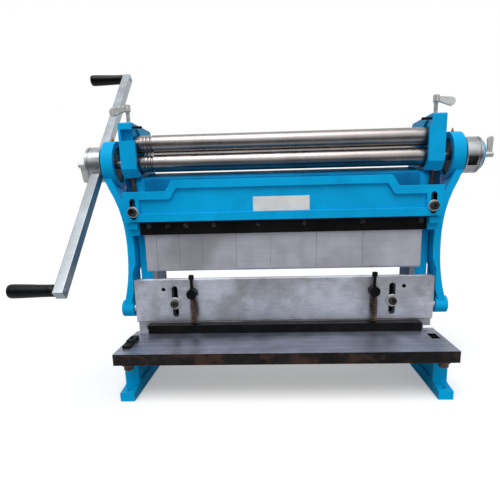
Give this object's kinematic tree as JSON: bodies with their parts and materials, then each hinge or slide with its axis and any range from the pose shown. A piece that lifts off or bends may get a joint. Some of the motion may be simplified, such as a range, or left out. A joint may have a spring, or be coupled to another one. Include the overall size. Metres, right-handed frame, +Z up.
{
  "type": "combination shear, brake and slip roll machine",
  "caption": "Bench machine with side frames, a table with shear blades, folding fingers over a sliding ram, forming rolls on top and a double-ended crank on the drive shaft.",
  "frame": {"origin": "on the bench, under the middle of the whole machine's box", "axes": "+X runs along the rolls to the right as seen by the user in front, +Y from front to back, +Z up"},
  "size_m": [0.9556, 0.492, 0.7357],
  "materials": {
    "blue_paint": "sky-blue gloss enamel",
    "ground_steel": "ground steel plate, light grey",
    "polished_steel": "polished turned steel",
    "zinc": "zinc plate, satin",
    "black_oxide": "black oxide and black enamel",
    "cast_iron": "dark cast iron, machined top",
    "machined_metal": "turned metal, pale grey",
    "black_plastic": "black moulded grip",
    "brass": "bare brass",
    "brown_steel": "bare steel with brown rust-proofing"
  },
  "bodies": {
    "frame": {"table": "cast_iron", "lower_blade": "ground_steel", "upper_beam": "blue_paint", "back_plate": "blue_paint", "apron": "blue_paint", "blank_plate": "machined_metal", "finger_clamp_bar": "black_oxide", "finger_1": "ground_steel", "finger_2": "ground_steel", "finger_3": "ground_steel", "finger_4": "ground_steel", "finger_5": "ground_steel", "finger_6": "ground_steel", "finger_7": "ground_steel", "finger_8": "ground_steel", "side_stop": "black_oxide", "left_side_frame": "blue_paint", "left_roll_housing": "blue_paint", "left_apron_bolt": "zinc", "left_slot_screw": "black_oxide", "left_table_bolt": "brown_steel", "right_side_frame": "blue_paint", "right_roll_housing": "blue_paint", "right_apron_bolt": "zinc", "right_slot_screw": "black_oxide", "right_table_bolt": "brown_steel"},
    "crank": {"drive_roll": "polished_steel", "drive_gear": "cast_iron", "left_eccentric": "machined_metal", "right_eccentric": "machined_metal", "left_hub": "machined_metal", "right_hub": "machined_metal", "right_hub_cap": "blue_paint", "crank_bar": "zinc"},
    "lower_grip": {"lower_grip": "black_plastic"},
    "upper_grip": {"upper_grip": "black_plastic"},
    "left_hub_lever": {"left_hub_lever": "zinc"},
    "right_hub_lever": {"right_hub_lever": "zinc"},
    "upper_roll": {"upper_roll": "polished_steel", "driven_gear": "cast_iron"},
    "rear_roll": {"rear_roll": "polished_steel"},
    "ram": {"ram_plate": "ground_steel", "upper_blade": "ground_steel", "left_link": "blue_paint", "right_link": "blue_paint", "left_grease_nipple": "brass", "right_grease_nipple": "brass", "left_rod_guide": "black_oxide", "right_rod_guide": "black_oxide"},
    "hold_down": {"hold_down_bar": "black_oxide", "left_rod": "zinc", "right_rod": "zinc", "left_spring": "zinc", "right_spring": "zinc"},
    "left_lock_lever": {"left_lock_lever": "zinc"},
    "right_lock_lever": {"right_lock_lever": "zinc"},
    "left_latch_pin": {"left_latch_pin": "black_oxide"},
    "right_latch_pin": {"right_latch_pin": "black_oxide"},
    "left_adjusting_screw": {"left_adjusting_screw": "brown_steel"},
    "right_adjusting_screw": {"right_adjusting_screw": "brown_steel"}
  },
  "joints": [
    {"name": "crank_swing", "type": "hinge", "parent": "frame", "child": "crank", "pos_m": [0.0202, 0, 0.4839], "axis": [1, 0, 0], "range_deg": [-40, 40]},
    {"name": "ram_slide", "type": "slide", "parent": "frame", "child": "ram", "axis": [0, 0, 1], "range_m": [-0.0123, 0.0123]},
    {"name": "upper_roll_turn", "type": "hinge", "parent": "frame", "child": "upper_roll", "pos_m": [0.0202, 0, 0.5247], "axis": [1, 0, 0], "range_deg": [-40, 40]},
    {"name": "rear_roll_turn", "type": "hinge", "parent": "frame", "child": "rear_roll", "pos_m": [0.0202, 0.049, 0.4935], "axis": [1, 0, 0], "continuous": true},
    {"name": "hold_down_slide", "type": "slide", "parent": "ram", "child": "hold_down", "axis": [0, 0, 1], "range_m": [-0.0123, 0.0123], "deforming": ["left_spring", "right_spring"]},
    {"name": "lower_grip_turn", "type": "hinge", "parent": "crank", "child": "lower_grip", "pos_m": [-0.4348, -0.23048, 0.24772], "axis": [1, 0, 0], "continuous": true},
    {"name": "upper_grip_turn", "type": "hinge", "parent": "crank", "child": "upper_grip", "pos_m": [-0.4348, 0.23048, 0.72008], "axis": [1, 0, 0], "continuous": true},
    {"name": "left_hub_lever_turn", "type": "hinge", "parent": "crank", "child": "left_hub_lever", "pos_m": [-0.4198, 0, 0.4839], "axis": [1, 0, 0], "range_deg": [-45, 45]},
    {"name": "right_hub_lever_turn", "type": "hinge", "parent": "crank", "child": "right_hub_lever", "pos_m": [0.4602, 0, 0.4839], "axis": [1, 0, 0], "range_deg": [-45, 45]},
    {"name": "left_lock_lever_turn", "type": "hinge", "parent": "frame", "child": "left_lock_lever", "pos_m": [-0.3048, -0.015, 0.59], "axis": [0, 0, 1], "range_deg": [-90, 90]},
    {"name": "right_lock_lever_turn", "type": "hinge", "parent": "frame", "child": "right_lock_lever", "pos_m": [0.3452, -0.015, 0.59], "axis": [0, 0, 1], "range_deg": [-90, 90]},
    {"name": "left_latch_pin_pull", "type": "slide", "parent": "frame", "child": "left_latch_pin", "axis": [-1, 0, 0], "range_m": [0, 0.006]},
    {"name": "right_latch_pin_pull", "type": "slide", "parent": "frame", "child": "right_latch_pin", "axis": [1, 0, 0], "range_m": [0, 0.006]},
    {"name": "left_adjusting_screw_turn", "type": "hinge", "parent": "frame", "child": "left_adjusting_screw", "pos_m": [-0.3038, -0.017, 0.44], "axis": [0, 0, 1], "continuous": true},
    {"name": "right_adjusting_screw_turn", "type": "hinge", "parent": "frame", "child": "right_adjusting_screw", "pos_m": [0.3442, -0.017, 0.44], "axis": [0, 0, 1], "continuous": true}
  ],
  "couplings": [
    {"joint": "ram_slide", "follows": "crank_swing", "m_per_rad": 0.0176},
    {"joint": "upper_roll_turn", "follows": "crank_swing", "ratio": -1},
    {"joint": "hold_down_slide", "follows": "crank_swing", "m_per_rad": -0.0176}
  ]
}
